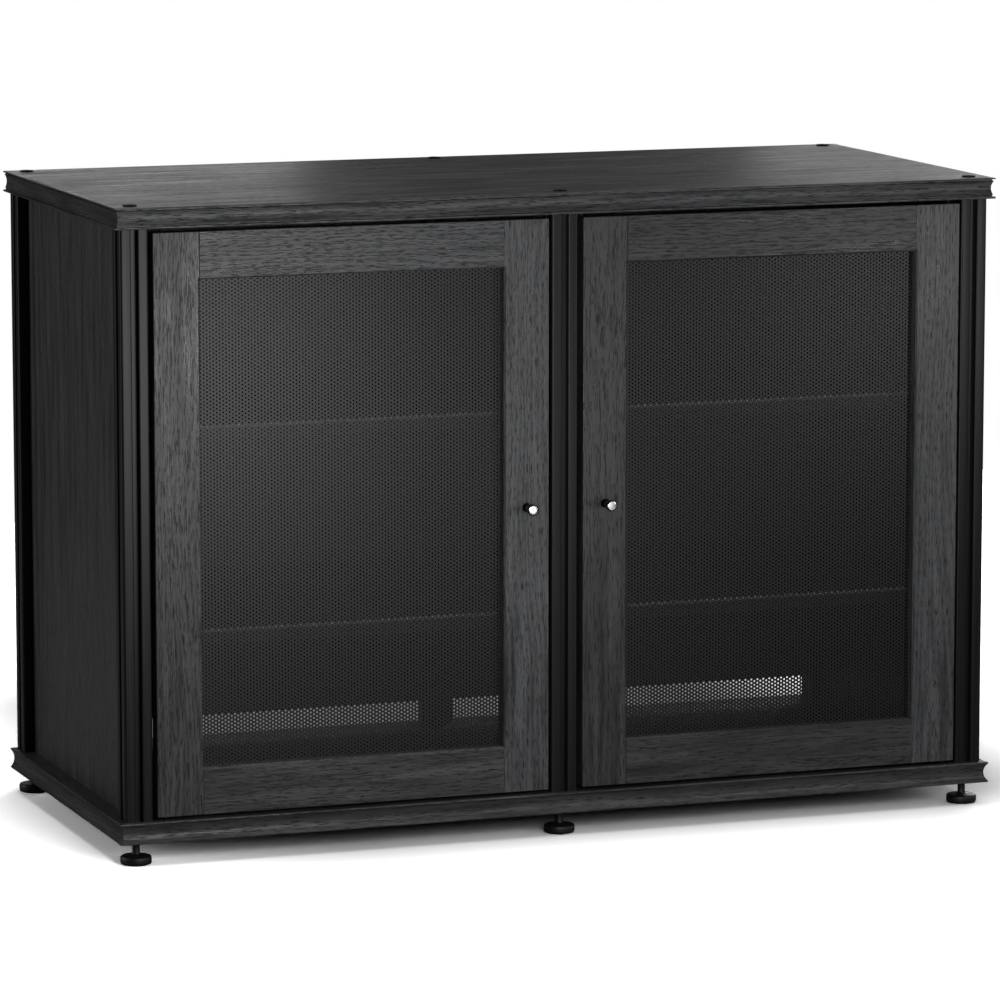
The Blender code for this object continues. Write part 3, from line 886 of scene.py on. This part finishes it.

# %% [markdown]
# ## The studio
#
# The cabinet stands on a plain white floor. Black furniture shows only what it reflects, so every
# light is a soft panel, placed where the camera sees its reflection. Three small ones low in
# front and one above them lie mirrored in the doors and the knobs. Two low ones behind lay a
# sheen over the ends of the top. Large ones at the left, the right, the back and overhead fill in
# the sides and the floor.
#
# The floor looks white to the camera but gives back less light to the cabinet, as it would if it
# were flagged off. A shadow is also painted on it under and behind the cabinet, so that the open
# slot below the back panels doesn't glow white through the screens.


# %% Floor and world
FLOOR_HALF = 2.4
# A shadow is painted on the floor in a rectangle under and behind the cabinet, fading to white
# around it.
PAINTED_SHADOW_CENTRE, PAINTED_SHADOW_HALF, PAINTED_SHADOW_FADE = (0.12, 0.35, 0.0), (0.35, 0.4, 0.0), 0.5
PAINTED_SHADOW_PAPER, WHITE_PAPER, RETURNED = 0.5, 5.2, (0.26, 0.26, 0.26, 1.0)
WHITE = (1.0, 1.0, 1.0, 1.0)


def stage_floor():
    """A square 4.8 m wide, brighter for camera rays than for the light it returns, with a shadow
    painted round the cabinet. The distance from the painted shadow's rectangle is
    length(max(|place - centre| - half, 0)), and the paper turns from the painted shadow to white
    over half a metre of it."""
    half = FLOOR_HALF
    corners = [(-half, -half, 0.0), (half, -half, 0.0), (half, half, 0.0), (-half, half, 0.0)]
    mesh = bpy.data.meshes.new("studio_floor")
    mesh.from_pydata(corners, [], [(0, 1, 2, 3)])
    material, tree, shader = new_material("studio_floor_paper", {"Roughness": 1.0})
    step = add_node(tree, "ShaderNodeTexCoord").outputs["Object"]
    for operation, vector in (
        ("SUBTRACT", PAINTED_SHADOW_CENTRE),
        ("ABSOLUTE", (0.0, 0.0, 0.0)),
        ("SUBTRACT", PAINTED_SHADOW_HALF),
        ("MAXIMUM", (0.0, 0.0, 0.0)),
        ("LENGTH", (0.0, 0.0, 0.0)),
    ):
        node = add_node(tree, "ShaderNodeVectorMath", {0: step}, operation=operation)
        node.inputs[1].default_value = vector
        step = node.outputs["Value" if operation == "LENGTH" else "Vector"]
    paleness_with_painted_shadow = add_node(
        tree,
        "ShaderNodeMapRange",
        {0: step, 1: 0.0, 2: PAINTED_SHADOW_FADE, 3: PAINTED_SHADOW_PAPER, 4: WHITE_PAPER},
        interpolation_type="SMOOTHSTEP",
    ).outputs[0]
    rays = add_node(tree, "ShaderNodeLightPath").outputs["Is Camera Ray"]
    colour = add_node(
        tree,
        "ShaderNodeMix",
        {0: rays, MIX_A: RETURNED, MIX_B: paleness_with_painted_shadow},
        data_type="RGBA",
    )
    paper = add_node(tree, "ShaderNodeBsdfDiffuse", {"Color": colour.outputs[MIX_COLOUR]})
    output = tree.nodes["Material Output"]
    tree.links.new(paper.outputs[0], output.inputs["Surface"])
    tree.nodes.remove(shader)
    mesh.materials.append(material)
    floor = bpy.data.objects.new("studio_floor", mesh)
    bpy.context.scene.collection.objects.link(floor)


stage_floor()
LIGHT_FROM_AROUND = 0.03
world = bpy.data.worlds.new("studio")
bpy.context.scene.world = world
world.use_nodes = True
sky = world.node_tree
sky.nodes["Background"].inputs["Color"].default_value = WHITE
sky.nodes["Background"].inputs["Strength"].default_value = LIGHT_FROM_AROUND
bright = add_node(sky, "ShaderNodeBackground", {"Color": WHITE, "Strength": 1.0})
rays = add_node(sky, "ShaderNodeLightPath").outputs["Is Camera Ray"]
both = add_node(
    sky,
    "ShaderNodeMixShader",
    {0: rays, 1: sky.nodes["Background"].outputs[0], 2: bright.outputs[0]},
)
sky.links.new(both.outputs[0], sky.nodes["World Output"].inputs["Surface"])
print("floor and world ready")


# %% Soft panels
def soft_panel(name, place, target, width, height, power):
    """A rectangular area light at place, turned to face target, that the camera doesn't see."""
    lamp = bpy.data.lights.new(name, "AREA")
    lamp.shape = "RECTANGLE"
    lamp.size, lamp.size_y, lamp.energy = width, height, power
    panel = bpy.data.objects.new(name, lamp)
    bpy.context.scene.collection.objects.link(panel)
    panel.location = place
    aim = Vector(target) - Vector(place)
    panel.rotation_euler = aim.to_track_quat("-Z", "Y").to_euler()
    panel.visible_camera = False


PANELS = {
    "front_panel": ((-0.25, -1.35, 0.5), (-0.25, 0.0, 0.5), 0.5, 0.42, 4.7),
    "front_high_panel": ((-0.3, -1.35, 0.85), (-0.3, 0.0, 0.6), 0.5, 0.3, 0.5),
    "knob_panel": ((0.3, -1.35, 0.29), (0.3, 0.0, 0.29), 0.2, 0.26, 0.5),
    "front_right_panel": ((0.88, -1.35, 0.57), (0.84, 0.0, 0.57), 0.24, 0.26, 2.0),
    "left_panel": ((-3.2, 1.2, 1.0), (-0.4, 0.0, 0.4), 1.6, 1.6, 20.0),
    "right_panel": ((3.4, -1.0, 1.2), (0.4, 0.0, 0.4), 1.6, 1.6, 14.0),
    "back_panel": ((3.2, 3.2, 1.4), (0.0, 0.26, 0.4), 1.6, 1.6, 45.0),
    "overhead_panel": ((0.0, -0.2, 3.0), (0.0, 0.0, 0.4), 2.4, 2.0, 24.0),
    "top_left_panel": ((-0.09, 2.0, 1.1), (-0.4, 0.0, 0.79), 0.92, 0.5, 1.9),
    "top_right_panel": ((1.68, 2.0, 1.1), (0.5, 0.0, 0.79), 0.95, 0.5, 2.0),
}
for name, panel in PANELS.items():
    soft_panel(name, *panel)
print(len(PANELS), "soft panels")
